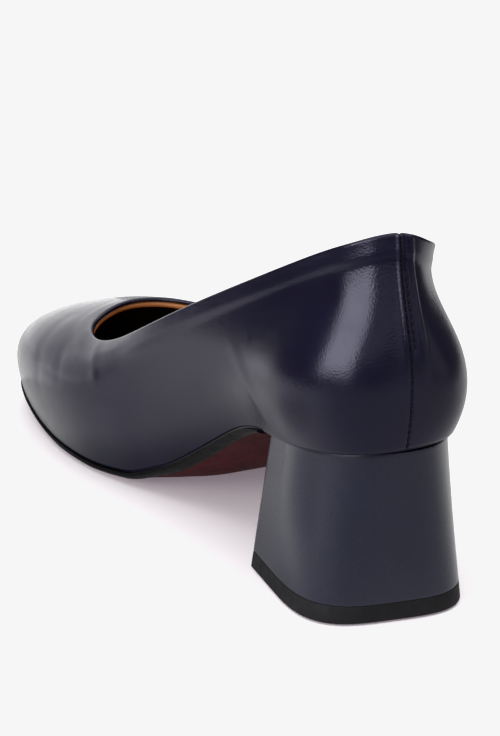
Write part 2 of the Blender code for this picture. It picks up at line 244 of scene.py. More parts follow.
def smooth_closed(values, at):
    """A closed curve with continuous bending through the rows of values, one unit of at between rows."""
    values = np.asarray(values, float)
    count = len(values)
    nearby = np.eye(count) * 4 + np.roll(np.eye(count), 1, axis=0) + np.roll(np.eye(count), -1, axis=0)
    bends = np.linalg.solve(nearby / 6, np.roll(values, 1, axis=0) - 2 * values + np.roll(values, -1, axis=0))
    row = np.floor(at).astype(int)
    t = (at - row)[:, None]
    here, after = row % count, (row + 1) % count
    straight = (1 - t) * values[here] + t * values[after]
    return straight + ((1 - t) ** 3 - (1 - t)) / 6 * bends[here] + (t**3 - t) / 6 * bends[after]


def smooth_step(value, start, end):
    """0 before start, 1 after end and a soft passage between them."""
    t = np.clip((value - start) / (end - start), 0.0, 1.0)
    return t * t * (3 - 2 * t)


def smooth_table(value, places, heights):
    """A soft curve through a short table, level at each of its rows."""
    places, heights = np.asarray(places), np.asarray(heights)
    result = np.full(np.shape(value), heights[0], float)
    for row in range(len(places) - 1):
        share = smooth_step(value, places[row], places[row + 1])
        result = result + (heights[row + 1] - heights[row]) * share
    return result


def bottom_height(x, y):
    """Height of the last's underside: the flat seat, a cubic between the rows of BOTTOM, and the arch."""
    x, y = np.asarray(x, float), np.asarray(y, float)
    table = dict(zip(BOTTOM_COLUMNS, np.array(BOTTOM).T))
    height = HEEL_HEIGHT - SEAT_SLOPE * (x - SEAT_BACK_X)
    for row in range(len(BOTTOM) - 1):
        x0, x1 = table["x"][row : row + 2]
        z0, z1 = table["z"][row : row + 2]
        s0, s1 = table["slope"][row : row + 2] * (x1 - x0)
        t = (x - x0) / (x1 - x0)
        cubic = (
            z0 * (2 * t**3 - 3 * t**2 + 1)
            + s0 * (t**3 - 2 * t**2 + t)
            + z1 * (3 * t**2 - 2 * t**3)
            + s1 * (t**3 - t**2)
        )
        height = np.where(x >= x0, cubic, height)
    along = np.clip((x - ARCH_BACK_X) / (ARCH_FRONT_X - ARCH_BACK_X), 0.0, 1.0)
    inward = np.clip((y - ARCH_START_Y) / (ARCH_FULL_Y - ARCH_START_Y), 0.0, 1.0)
    return height + ARCH_LIFT * np.sin(math.pi * along) ** 2 * inward**2


def plan_normals(loop):
    """Unit normals in plan, pointing away from the foot, of a closed loop of points."""
    along = np.roll(loop, -1, axis=0) - np.roll(loop, 1, axis=0)
    out = np.column_stack((-along[:, 1], along[:, 0], np.zeros(len(loop))))
    return out / np.linalg.norm(out, axis=1)[:, None]


def section_values(at):
    """The columns of SECTIONS as smooth functions of the place round the shoe."""
    return dict(zip(SECTION_COLUMNS, smooth_closed(list(SECTIONS.values()), at).T))


def foot_loop(at):
    """The upper's lower edge."""
    values = section_values(at)
    x, y = values["foot_x"], values["foot_y"]
    return np.column_stack((x, y, bottom_height(x, y)))


def outer_wall(at, up):
    """Points of the upper's outside. up has a row of shares of the height for each place round the shoe."""
    values = section_values(at)
    foot = foot_loop(at)
    top = np.column_stack((values["top_x"], values["top_y"], values["top_z"]))
    low = foot + plan_normals(foot) * values["low_out"][:, None] + UP * values["low_up"][:, None]
    high = top + plan_normals(top) * values["high_out"][:, None] - UP * values["high_down"][:, None]
    v = up[:, :, None]
    return (
        (1 - v) ** 3 * foot[:, None]
        + 3 * (1 - v) ** 2 * v * low[:, None]
        + 3 * (1 - v) * v**2 * high[:, None]
        + v**3 * top[:, None]
    )


def wall_normals(points):
    """Outward unit normals of a wall that closes round the shoe."""
    round_shoe = np.roll(points, -1, axis=0) - np.roll(points, 1, axis=0)
    normal = np.cross(np.gradient(points, axis=1), round_shoe)
    return normal / np.linalg.norm(normal, axis=2)[:, :, None]


def seam_speed():
    """Millimetres along the lower edge for one unit of place, at the back seam."""
    ends = np.array([-SEAM_SPAN, SEAM_SPAN])
    return np.linalg.norm(np.diff(foot_loop(ends), axis=0)) / np.ptp(ends)


def places_round(steps):
    """Places round the shoe: even steps between sections, and close ones over the back seam."""
    speed = seam_speed()
    start, end = SEAM_REACH[0] / speed, SEAM_REACH[1] / speed
    near = np.arange(start, end, SEAM_STEP / speed)
    even = np.arange(0, SECTION_COUNT * steps) / steps
    even = even[(even > end) & (even < SECTION_COUNT + start)]
    return np.concatenate((near[near >= 0], even, SECTION_COUNT + near[near < 0]))


def seam_distance(at):
    """Distance along the leather from the back seam's stitch line, + on the inner side."""
    return np.where(at > SECTION_COUNT / 2, at - SECTION_COUNT, at) * seam_speed()


def shares_up(at, rows, top_rows):
    """Shares of the height and distances below the top: rows from the lower edge up, then top_rows."""
    fine = np.tile(np.linspace(0.0, 1.0, WALL_SAMPLES), (len(at), 1))
    lengths = np.linalg.norm(np.diff(outer_wall(at, fine), axis=1), axis=2)
    below = np.concatenate((np.cumsum(lengths[:, ::-1], axis=1)[:, ::-1], np.zeros((len(at), 1))), axis=1)
    low = 1 - np.linspace(0.0, 1.0, rows + 1)[:-1] ** ROW_CROWDING
    up, distance = [], []
    for column, shares in zip(below, fine):
        wanted = np.concatenate((top_rows[0] + (column[0] - top_rows[0]) * low, top_rows))
        up.append(np.interp(wanted, column[::-1], shares[::-1]))
        distance.append(wanted)
    return np.array(up), np.array(distance)


def seam_relief(at, points):
    """How far the back seam's ridges and stitched grooves lift the wall."""
    along = seam_distance(at)[:, None]
    z = points[:, :, 2]
    rows = np.array(RIDGES)
    lift = smooth_table(along, rows[:, 0], rows[:, 1]) * smooth_step(z, *RIDGE_FADE_Z)
    for place, depth, width, from_z in GROOVES:
        groove = depth * np.exp(-(((along - place) / width) ** 2))
        lift = lift - groove * smooth_step(z, from_z, from_z + GROOVE_FADE)
    return lift


def crease_relief(points):
    """How far the creases lift or sink the wall."""
    lift = np.zeros(points.shape[:2])
    t = np.linspace(0.0, 1.0, CREASE_POINTS)[:, None]
    for start, middle, end, proud, width in CREASES.values():
        line = (1 - t) ** 2 * np.array(start) + 2 * (1 - t) * t * np.array(middle) + t**2 * np.array(end)
        strength = np.sin(math.pi * t[:, 0]) ** CREASE_TAPER
        near = np.abs(points - np.array(middle)).max(axis=2) < CREASE_REACH
        away = np.linalg.norm(points[near][:, None] - line[None], axis=2)
        lift[near] += proud * (strength * np.exp(-((away / width) ** 2))).max(axis=1)
    return lift


def leather_surface(at):
    """Outside of the dressed leather, the plain wall under it, its normals and distances below the top."""
    up, below = shares_up(at, WALL_ROWS, TOP_ROWS)
    plain = outer_wall(at, up)
    normal = wall_normals(plain)
    share = 1 - (1 - TURNED_AT_VAMP) * smooth_step(plain[:, :, 0], *TURNED_FALLS_X)
    turned = TURNED_RISE * share * smooth_step(below, TURNED_END, TURNED_FULL)
    above_foot = below[:, :1] - below
    tuck = FEATHER_TUCK * (1 - np.sqrt(1 - (1 - np.clip(above_foot / FEATHER_HEIGHT, 0, 1)) ** 2))
    lift = turned + seam_relief(at, plain) + crease_relief(plain) - tuck
    return plain + normal * lift[:, :, None], plain, normal, below


def lasting_margin(at):
    """The leather's lower edge turned in under the insole: its upper edge, then its two lower ones."""
    foot = foot_loop(at)
    out = plan_normals(foot)
    edges = ((LASTING_MARGIN, LASTING_TOP), (LASTING_MARGIN, LASTING_UNDER), (FEATHER_TUCK, LASTING_UNDER))
    rows = []
    for inward, under in edges:
        row = foot - out * inward
        row[:, 2] = bottom_height(row[:, 0], row[:, 1]) - under
        rows.append(row)
    return np.stack(rows, axis=1)


def upper_sections():
    """Closed sections of the leather: up the outside, over the rounded edge, down its back and under."""
    at = places_round(STEPS_PER_SECTION)
    outside, plain, normal, below = leather_surface(at)
    edge_up = plain[:, -1] - plain[:, -EDGE_ROWS]
    edge_up /= np.linalg.norm(edge_up, axis=1)[:, None]
    outer_edge, inner_edge = outside[:, -1], plain[:, -1] - normal[:, -1] * LEATHER
    angle = np.linspace(0.0, math.pi, RIM_STEPS + 1)[1:]
    middle, half = (outer_edge + inner_edge) / 2, (outer_edge - inner_edge) / 2
    rim = (
        middle[:, None]
        + half[:, None] * np.cos(angle)[None, :, None]
        + edge_up[:, None] * RIM_RISE * np.sin(angle)[None, :, None]
    )
    rows = list(range(plain.shape[1] - EDGE_ROWS, -1, -BACK_ROW_STEP))
    behind = plain[:, rows] - normal[:, rows] * LEATHER
    notch = NOTCH_DEPTH * np.exp(-((seam_distance(at) / NOTCH_WIDTH) ** 2))
    margin = lasting_margin(at)
    sections = np.concatenate((outside, rim, behind, margin), axis=1)
    far_down = np.tile(below[:, :1], (1, margin.shape[1]))
    near_top = np.concatenate((below, np.zeros((len(at), len(angle))), below[:, rows], far_down), axis=1)
    sinks = notch[:, None] * np.exp(-near_top / NOTCH_FADE)
    return sections - edge_up[:, None] * sinks[:, :, None], near_top


def lining_sections():
    """Closed sections of the lining: its face in the shoe, its edge and its back against the leather."""
    at = places_round(STEPS_PER_SECTION // LINING_COARSER)[::LINING_COARSER]
    up, below = shares_up(at, LINING_ROWS, LINING_TOP_ROWS)
    up, below = up[:, LINING_CLEAR_ROWS:], below[:, LINING_CLEAR_ROWS:]
    plain = outer_wall(at, up)
    normal = wall_normals(plain)
    thick = WALL + LINING_BEAD * smooth_step(below, LINING_BEAD_END, LINING_TOP_ROWS[-1])
    face = plain - normal * thick[:, :, None]
    edge_up = plain[:, -1] - plain[:, -2]
    edge_up /= np.linalg.norm(edge_up, axis=1)[:, None]
    bead = [
        plain[:, -1] - normal[:, -1] * inward + edge_up * (LINING_TOP_ROWS[-1] - under)
        for inward, under in LINING_EDGE
    ]
    rows = list(range(plain.shape[1] - 1, -1, -LINING_BACK_STEP))
    back = plain[:, rows] - normal[:, rows] * (LEATHER + LINING_CLEARANCE)
    sections = np.concatenate((face, np.stack(bead, axis=1), back), axis=1)
    return sections, np.concatenate((below, np.zeros((len(at), len(bead))), below[:, rows]), axis=1)


def lower_outline(shift):
    """The lower edge's outline moved out by shift, as inner and outer side curves of y over x."""
    loop = foot_loop(np.arange(0, SECTION_COUNT, 1 / OUTLINE_STEPS))
    loop = loop + plan_normals(loop) * shift
    tip, back = np.argmax(loop[:, 0]), np.argmin(loop[:, 0])
    loop = np.roll(loop, -back, axis=0)
    tip = (tip - back) % len(loop)
    return loop[: tip + 1, :2], loop[tip:, :2][::-1]


def sole_start(y):
    """x of the sole's back edge, just clear of the heel's front where the sole's underside meets it."""
    seat, foot = dict(zip(HEEL_COLUMNS, HEEL_SEAT)), dict(zip(HEEL_COLUMNS, HEEL_FOOT))
    seat_x, foot_x = seat["back_x"] + seat["depth"], foot["back_x"] + foot["depth"]
    drop = (sole_thickness(seat_x) + GAP) / bottom_height(seat_x, 0.0)
    front = seat_x + (foot_x - seat_x) * drop
    return (front + GAP) / math.cos(HEEL_TURN) - math.tan(HEEL_TURN) * (y - HEEL_SIDE_SHIFT)


def side_stations(shift, start_x, share):
    """Points on both sides of the outline at shares of the way from start_x(y) to the toe tip."""
    sides = []
    for curve in lower_outline(shift):
        x_start = curve[0, 0]
        if start_x is not None:
            x_start = curve[curve[:, 0] > start_x(curve[:, 1])][0, 0]
        x = x_start + (curve[-1, 0] - x_start) * share
        sides.append(np.column_stack((x, np.interp(x, curve[:, 0], curve[:, 1]))))
    return sides


def sole_thickness(x):
    """The sole's thickness at a place along the foot."""
    rows = dict(zip(SOLE_COLUMNS, np.array(SOLE).T))
    return np.interp(x, rows["x"], rows["thickness"])


def plate_sections(sides, top_of, thickness_of, edge):
    """Closed sections across a plate. edge is the profile of its side: (set in, share of the depth) rows."""
    across = np.linspace(0.0, 1.0, PLATE_ACROSS)
    sections = []
    for left, right in zip(*sides):
        width = right - left
        length = max(np.linalg.norm(width), NARROWEST)
        rows = []
        for set_in, depth, shares in edge_runs(edge, across, length):
            place = left + width * (set_in + (1 - 2 * set_in) * shares)[:, None]
            z = top_of(*place.T) - thickness_of(place[:, 0]) * depth
            rows.append(np.column_stack((place, np.maximum(z, 0.0))))
        sections.append(np.concatenate(rows))
    return np.array(sections)


def edge_runs(edge, across, length):
    """Rows of a plate's section: over its top, down one side, back along its underside and up the other."""
    inset = [min(set_in / length, WIDEST_SET_IN) for set_in, _ in edge]
    depth = [share for _, share in edge]
    yield inset[0], depth[0], across
    for row in range(1, len(edge) - 1):
        yield inset[row], depth[row], np.array([1.0])
    yield inset[-1], depth[-1], across[::-1]
    for row in range(len(edge) - 2, 0, -1):
        yield inset[row], depth[row], np.array([0.0])


def sole_sections():
    """The outsole from the heel's front to the toe, with stations closing up towards the tip."""
    share = 1 - (1 - np.linspace(0.0, 1.0, PLATE_STATIONS)) ** SOLE_CROWDING
    sides = side_stations(SOLE_LIP, sole_start, share)
    return plate_sections(sides, lambda x, y: bottom_height(x, y) - GAP, sole_thickness, SOLE_EDGE)


def insole_sections():
    """The insole inside the upper's lower edge, with stations closing up towards both ends."""
    share = (1 - np.cos(math.pi * np.linspace(0.0, 1.0, PLATE_STATIONS))) / 2
    sides = side_stations(-WALL - 2 * GAP, None, share)
    return plate_sections(
        sides,
        lambda x, y: bottom_height(x, y) + INSOLE_THICK,
        lambda x: np.full(len(x), INSOLE_THICK),
        INSOLE_EDGE,
    )


def heel_plan(size):
    """The heel's plan from the inner front corner round the back to the outer front corner."""
    shape = dict(zip(HEEL_COLUMNS, size))
    power = shape["round_power"]
    round_share = np.linspace(0.0, 1.0, HEEL_BACK_STEPS // 2 + 1) ** 2
    x = shape["round_depth"] * round_share
    y = shape["half_width"] * (1 - (1 - round_share) ** power) ** (1 / power)
    ahead = np.linspace(0.0, 1.0, HEEL_SIDE_STEPS)[1:]
    x = np.concatenate((x, shape["round_depth"] + (shape["depth"] - shape["round_depth"]) * ahead))
    y = np.concatenate((y, shape["half_width"] + shape["front_taper"] * ahead))
    x = x + shape["back_x"]
    return np.column_stack((np.concatenate((x[::-1], x[1:])), np.concatenate((y[::-1], -y[1:]))))


def heel_rings(low, high, levels):
    """Rings of the heel between two heights. Where high is None, the top one follows the seat's joint."""
    c, s = math.cos(HEEL_TURN), math.sin(HEEL_TURN)
    turn = np.array([[c, s], [-s, c]])
    shift = np.array([0.0, HEEL_SIDE_SHIFT])
    foot, seat = heel_plan(HEEL_FOOT) @ turn + shift, heel_plan(HEEL_SEAT) @ turn + shift
    joint = JOINT_WIDTH + JOINT_WIDENS * smooth_step(-seat[:, 1], *JOINT_FROM_INNER)
    seat_z = bottom_height(*seat.T) - GAP - joint
    rings = []
    for level in levels:
        top = seat_z if high is None else np.full(len(seat_z), high)
        z = low + (top - low) * level
        share = (z / seat_z)[:, None]
        rings.append(np.column_stack((foot + (seat - foot) * share, z)))
    return np.array(rings)


def part_shift():
    """Where the drawing's zero lies in the part's frame, from the box of the heel's top piece."""
    low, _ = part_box("top_piece")
    drawn = heel_rings(0.0, TOP_PIECE_HEIGHT, (0.0, 1.0)).reshape(-1, 3).min(axis=0)
    return np.array([low.x, low.y, 0.0]) - np.array([drawn[0], drawn[1], 0.0]) * MM


SHIFT = part_shift()


def to_part(point):
    """A point of the drawing, in metres of the part's frame."""
    return Vector(np.asarray(point) * MM + SHIFT)


def finish_mesh(name, mesh, sharp_angle=40.0):
    """A piece made from a bmesh, shaded smooth apart from its sharp edges."""
    bmesh.ops.recalc_face_normals(mesh, faces=mesh.faces)
    data = bpy.data.meshes.new(name)
    mesh.to_mesh(data)
    mesh.free()
    data.shade_smooth()
    data.set_sharp_from_angle(angle=math.radians(sharp_angle))
    piece = bpy.data.objects.new(name, data)
    bpy.context.scene.collection.objects.link(piece)
    return piece


def lay_grid(points, close_rows, marks=None):
    """A grid laid over an array of points and welded where it closes on itself. marks become attributes."""
    rows, columns = points.shape[:2]
    row_count = rows if close_rows else rows - 1
    mesh = bmesh.new()
    layers = {key: mesh.verts.layers.float.new(key) for key in (marks or {})}
    made = bmesh.ops.create_grid(mesh, x_segments=columns, y_segments=row_count, size=1.0)
    for vert in made["verts"]:
        column = round((vert.co.x + 1) / 2 * columns) % columns
        row = round((vert.co.y + 1) / 2 * row_count) % rows
        vert.co = to_part(points[row, column])
        for key, layer in layers.items():
            vert[layer] = marks[key][row, column]
    bmesh.ops.remove_doubles(mesh, verts=mesh.verts, dist=WELD)
    bmesh.ops.dissolve_degenerate(mesh, edges=mesh.edges, dist=WELD)
    open_edges = [edge for edge in mesh.edges if edge.is_boundary]
    if open_edges:
        bmesh.ops.holes_fill(mesh, edges=open_edges)
    return mesh


def new_finish(name, settings=()):
    """A material, its node tree and its shader. settings pairs the shader's sockets with plain values."""
    finish = bpy.data.materials.new(name)
    finish.use_nodes = True
    shader = finish.node_tree.nodes["Principled BSDF"]
    for socket, value in dict(settings).items():
        shader.inputs[socket].default_value = value
    return finish, finish.node_tree, shader


def add_node(tree, kind, inputs=(), **settings):
    """A node with its settings. inputs pairs a socket with a value or with another node's output."""
    node = tree.nodes.new(kind)
    for key, value in settings.items():
        setattr(node, key, value)
    for socket, value in dict(inputs).items():
        if isinstance(value, bpy.types.NodeSocket):
            tree.links.new(value, node.inputs[socket])
        else:
            node.inputs[socket].default_value = value
    return node


def object_place(tree):
    """The place on the piece, in metres."""
    return add_node(tree, "ShaderNodeTexCoord").outputs["Object"]


def mark(tree, name):
    """A value that the mesh carries."""
    return add_node(tree, "ShaderNodeAttribute", attribute_name=name).outputs["Fac"]


def calculate(tree, operation, first, second):
    """The result of a math operation on two values."""
    return add_node(tree, "ShaderNodeMath", {0: first, 1: second}, operation=operation).outputs[0]


def noise(tree, place, size, detail=3.0):
    """Soft noise with features of that size in millimetres."""
    inputs = {"Vector": place, "Scale": 1 / (size * MM), "Detail": detail}
    return add_node(tree, "ShaderNodeTexNoise", inputs).outputs["Fac"]


def grain(tree, place, size, smoothness=0.6):
    """Height of leather grain: small rounded cells of that size in millimetres."""
    inputs = {"Vector": place, "Scale": 1 / (size * MM), "Smoothness": smoothness}
    return add_node(tree, "ShaderNodeTexVoronoi", inputs, feature="SMOOTH_F1").outputs["Distance"]


def spread(tree, value, low, high, start=0.3, end=0.7, passage="LINEAR"):
    """Maps a value from between start and end, which suit noise, to a range."""
    inputs = {"Value": value, "From Min": start, "From Max": end, "To Min": low, "To Max": high}
    return add_node(tree, "ShaderNodeMapRange", inputs, interpolation_type=passage).outputs["Result"]


def mix_colours(tree, share, first, second):
    """A mix of two colours, or of two colour outputs."""
    share_socket, first_socket, second_socket, result_socket = 0, 6, 7, 2
    inputs = {share_socket: share}
    for socket, colour in ((first_socket, first), (second_socket, second)):
        inputs[socket] = colour if isinstance(colour, bpy.types.NodeSocket) else (*colour, 1.0)
    return add_node(tree, "ShaderNodeMix", inputs, data_type="RGBA").outputs[result_socket]


def mottled(tree, place, size, tones):
    """A colour that wanders between two tones, in patches of that size in millimetres."""
    return mix_colours(tree, spread(tree, noise(tree, place, size), 0.0, 1.0), *tones)


def surface(tree, shader, colour, rough, reliefs):
    """Links a colour and a roughness, and stacks bumps: each is a height and its depth in millimetres."""
    tree.links.new(colour, shader.inputs["Base Color"])
    if rough is not None:
        tree.links.new(rough, shader.inputs["Roughness"])
    normal = None
    for height, depth in reliefs:
        node = add_node(tree, "ShaderNodeBump", {"Height": height, "Distance": depth * MM})
        if normal is not None:
            tree.links.new(normal, node.inputs["Normal"])
        normal = node.outputs["Normal"]
    tree.links.new(normal, shader.inputs["Normal"])


# The darker and the lighter tone of each finish
NAVY = ((0.0037, 0.0032, 0.0112), (0.005, 0.0044, 0.0148))
TAN = ((0.32, 0.108, 0.025), (0.43, 0.155, 0.039))
EDGE_PAINT = ((0.0044, 0.0039, 0.0045), (0.0072, 0.0064, 0.0072))
OXBLOOD = ((0.047, 0.0062, 0.009), (0.068, 0.0095, 0.0122))
COVER_NAVY = ((0.004, 0.0048, 0.0175), (0.0055, 0.0062, 0.0215))
RUBBER = ((0.0058, 0.0052, 0.0066), (0.0098, 0.0088, 0.0104))
THREAD = ((0.0016, 0.0014, 0.0045), (0.0055, 0.0046, 0.019))
VAMP_CLOTH = (0.004, 0.004, 0.0045)
TAN_PATCHES = 9.0

# Painted shade: black at the top of the sole's edge, for the shadow in the groove under the upper, and how
# far below the feather line it ends
FEATHER_SHADE_BLACK = (0.0012, 0.0012, 0.0013)
FEATHER_SHADE_ENDS = (0.95, 1.25)

# Painted shade in the leather's reflection: its specular level drops near the sole, ahead of the heel, for
# the floor's shadow mirrored there
OPEN_REFLECTION_LEVEL = 0.5
SHADED_REFLECTION_LEVEL = 0.18
REFLECTION_SHADE_HEIGHT = 22.0
REFLECTION_SHADE_AHEAD_X = (50.0, 75.0)


def navy_leather():
    """Smooth, lightly polished navy leather."""
    finish, tree, shader = new_finish("navy_leather", {"IOR": 1.5, "Specular Tint": (0.8, 0.78, 1.0, 1.0)})
    place = object_place(tree)
    # Painted shade: less reflection near the sole, for the floor's shadow that the leather mirrors there
    reflection_level = spread(tree, mark(tree, "above_feather"), SHADED_REFLECTION_LEVEL, OPEN_REFLECTION_LEVEL, 0.0, REFLECTION_SHADE_HEIGHT)
    tree.links.new(reflection_level, shader.inputs["Specular IOR Level"])
    rough = spread(tree, noise(tree, place, 6.0), 0.19, 0.24)
    reliefs = ((grain(tree, place, 0.5), 0.036), (noise(tree, place, 3.0), 0.03))
    surface(tree, shader, mottled(tree, place, 22.0, NAVY), rough, reliefs)
    return finish


def shoe_lining():
    """Tan leather along the top line and over the quarters, black cloth inside the vamp."""
    finish, tree, shader = new_finish("shoe_lining")
    place = object_place(tree)
    strip_ends = (TAN_STRIP - LINE_SOFTNESS, TAN_STRIP + LINE_SOFTNESS)
    under_strip = spread(tree, mark(tree, "below_top"), 0.0, 1.0, *strip_ends)
    in_vamp = spread(tree, mark(tree, "past_vamp_line"), 0.0, 1.0, -LINE_SOFTNESS, LINE_SOFTNESS)
    cloth = calculate(tree, "MULTIPLY", under_strip, in_vamp)
    colour = mix_colours(tree, cloth, mottled(tree, place, TAN_PATCHES, TAN), VAMP_CLOTH)
    rough = spread(tree, cloth, 0.5, 0.9, 0.0, 1.0)
    reliefs = ((grain(tree, place, 0.7), 0.03), (noise(tree, place, 2.0), 0.03))
    surface(tree, shader, colour, rough, reliefs)
    return finish


def insole_leather():
    """Matt tan leather."""
    finish, tree, shader = new_finish("insole_leather")
    place = object_place(tree)
    rough = spread(tree, noise(tree, place, 5.0), 0.48, 0.62)
    reliefs = ((grain(tree, place, 0.7), 0.03), (noise(tree, place, 3.0), 0.04))
    surface(tree, shader, mottled(tree, place, TAN_PATCHES, TAN), rough, reliefs)
    return finish


def sole_edge_finish():
    """Dark, matt edge paint, with painted shade in black just under the upper."""
    finish, tree, shader = new_finish("sole_edge_paint", {"Specular IOR Level": 0.1})
    place = object_place(tree)
    # Painted shade: black where the groove under the upper lies in shadow
    below = spread(tree, mark(tree, "below_feather"), 0.0, 1.0, *FEATHER_SHADE_ENDS)
    colour = mix_colours(tree, below, FEATHER_SHADE_BLACK, mottled(tree, place, 4.0, EDGE_PAINT))
    rough = spread(tree, noise(tree, place, 2.0), 0.42, 0.58)
    surface(tree, shader, colour, rough, ((noise(tree, place, 0.5), 0.02),))
    return finish


def sole_under_finish():
    """Matt oxblood underside with a fine, slightly cloudy face."""
    finish, tree, shader = new_finish("sole_oxblood", {"Specular IOR Level": 0.08})
    place = object_place(tree)
    rough = spread(tree, noise(tree, place, 3.0), 0.7, 0.85)
    surface(tree, shader, mottled(tree, place, 7.0, OXBLOOD), rough, ((noise(tree, place, 0.4), 0.01),))
    return finish


def heel_cover():
    """Satin navy cover of the heel."""
    settings = {"IOR": 1.5, "Specular Tint": (0.86, 0.88, 1.0, 1.0)}
    settings |= {"Coat Weight": 0.5, "Coat Roughness": 0.25}
    finish, tree, shader = new_finish("heel_cover", settings)
    place = object_place(tree)
    rough = spread(tree, noise(tree, place, 5.0), 0.24, 0.29)
    reliefs = ((noise(tree, place, 0.5), 0.003), (noise(tree, place, 4.0), 0.014))
    surface(tree, shader, mottled(tree, place, 14.0, COVER_NAVY), rough, reliefs)
    return finish


def top_piece_rubber():
    """Matt black rubber."""
    finish, tree, shader = new_finish("top_piece_rubber", {"Specular IOR Level": 0.25})
    place = object_place(tree)
    rough = spread(tree, noise(tree, place, 2.0), 0.52, 0.68)
    surface(tree, shader, mottled(tree, place, 3.0, RUBBER), rough, ((noise(tree, place, 0.4), 0.03),))
    return finish


def seam_thread():
    """Dark blue thread."""
    finish, tree, shader = new_finish("seam_thread", {"Roughness": 0.5, "Specular IOR Level": 0.15})
    place = object_place(tree)
    surface(tree, shader, mottled(tree, place, 0.4, THREAD), None, ((noise(tree, place, 0.2), 0.03),))
    return finish


def dress(piece, slot, node, *finishes):
    """Gives a piece its finishes, hangs it under the root body and hides the solid it replaces. slot is not
    used.
    """
    for finish in finishes:
        piece.data.materials.append(finish)
    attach(piece, "root")
    if node:
        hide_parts(node)


def make_upper():
    """The leather upper."""
    sections, near_top = upper_sections()
    height = near_top.max(axis=1, keepdims=True) - near_top
    # Behind the heel the mark is raised, so the painted shade in the reflection stays ahead of the heel
    shade_cleared_behind_heel = REFLECTION_SHADE_HEIGHT * (1 - smooth_step(sections[:, :, 0], *REFLECTION_SHADE_AHEAD_X))
    mesh = lay_grid(sections, close_rows=True, marks={"above_feather": height + shade_cleared_behind_heel})
    dress(finish_mesh("leather_upper", mesh, sharp_angle=60.0), "upper_leather", "upper", navy_leather())


def make_lining():
    """The lining. Its cloth starts below the tan strip and ahead of a leaning line in the waist."""
    sections, below = lining_sections()
    ahead = sections[:, :, 0] - VAMP_LINE_X - VAMP_LINE_LEAN * (VAMP_LINE_Z - sections[:, :, 2])
    mesh = lay_grid(sections, close_rows=True, marks={"below_top": below, "past_vamp_line": ahead})
    dress(finish_mesh("lining", mesh, sharp_angle=60.0), "insole_leather", None, shoe_lining())


def make_insole():
    """The insole sock."""
    mesh = lay_grid(insole_sections(), close_rows=False)
    dress(finish_mesh("insole_sock", mesh, sharp_angle=50.0), "insole_leather", "insole", insole_leather())


def make_sole():
    """The outsole, its edge painted and its underside oxblood."""
    sections = sole_sections()
    below = bottom_height(sections[:, :, 0], sections[:, :, 1]) - GAP - sections[:, :, 2]
    under = np.zeros(sections.shape[:2])
    first = PLATE_ACROSS + len(SOLE_EDGE) - 2
    under[:, first : first + PLATE_ACROSS] = 1.0
    mesh = lay_grid(sections, close_rows=False, marks={"below_feather": below, "underside": under})
    piece = finish_mesh("sole_plate", mesh, sharp_angle=35.0)
    underside = piece.data.attributes["underside"].data
    for face in piece.data.polygons:
        face.material_index = 1 if all(underside[vert].value > 0.5 for vert in face.vertices) else 0
    dress(piece, "outsole_compound", "outsole", sole_edge_finish(), sole_under_finish())


def soften_edges(mesh, width, turn=35.0, segments=3):
    """Rounds the edges of a block that turn sharply."""
    edges = [e for e in mesh.edges if e.is_manifold and e.calc_face_angle() > math.radians(turn)]
    bmesh.ops.bevel(
        mesh, geom=edges, offset=width * MM, offset_type="OFFSET", affect="EDGES", segments=segments,
        profile=0.5, material=-1, clamp_overlap=True,
    )


def make_heel():
    """The covered block heel."""
    rings = heel_rings(TOP_PIECE_HEIGHT + COVER_GAP, None, np.linspace(0.0, 1.0, HEEL_LEVELS))
    mesh = lay_grid(rings, close_rows=False)
    bmesh.ops.recalc_face_normals(mesh, faces=mesh.faces)
    soften_edges(mesh, HEEL_EDGE)
    dress(finish_mesh("covered_heel", mesh), "heel_cover", "heel", heel_cover())


def make_top_piece():
    """The heel's top piece."""
    mesh = lay_grid(heel_rings(0.0, TOP_PIECE_HEIGHT, (0.0, 0.5, 1.0)), close_rows=False)
    bmesh.ops.recalc_face_normals(mesh, faces=mesh.faces)
    soften_edges(mesh, HEEL_EDGE)
    dress(finish_mesh("heel_top_lift", mesh), "top_piece_rubber", "top_piece", top_piece_rubber())


def seam_line(place):
    """A line up the wall at the back seam: points, directions along and out, and distances from its foot."""
    at = np.array([(place / seam_speed()) % SECTION_COUNT])
    line_at = np.concatenate((at - SEAM_LINE_SPAN, at, at + SEAM_LINE_SPAN)) % SECTION_COUNT
    plain = outer_wall(line_at, np.tile(np.linspace(0.0, SEAM_LINE_TOP, SEAM_LINE_POINTS), (3, 1)))
    line = plain[1]
    along = np.gradient(line, axis=0)
    out = np.cross(along, plain[2] - plain[0])
    out /= np.linalg.norm(out, axis=1)[:, None]
    travelled = np.concatenate(([0.0], np.cumsum(np.linalg.norm(np.diff(line, axis=0), axis=1))))
    return line, along, out, travelled


def lay_stitch(mesh, middle, along, out, length, width):
    """One stitch that lies along a direction on the leather."""
    z_axis = Vector(along).normalized()
    y_axis = z_axis.cross(Vector(out)).normalized()
    x_axis = y_axis.cross(z_axis)
    turn = Matrix((x_axis, y_axis, z_axis)).transposed().to_4x4()
    size = np.array((width, width * STITCH_FLATNESS, length / 2)) * MM
    matrix = Matrix.Translation(to_part(middle)) @ turn @ Matrix.Diagonal((*size, 1.0))
    bmesh.ops.create_icosphere(mesh, subdivisions=2, radius=1.0, matrix=matrix)


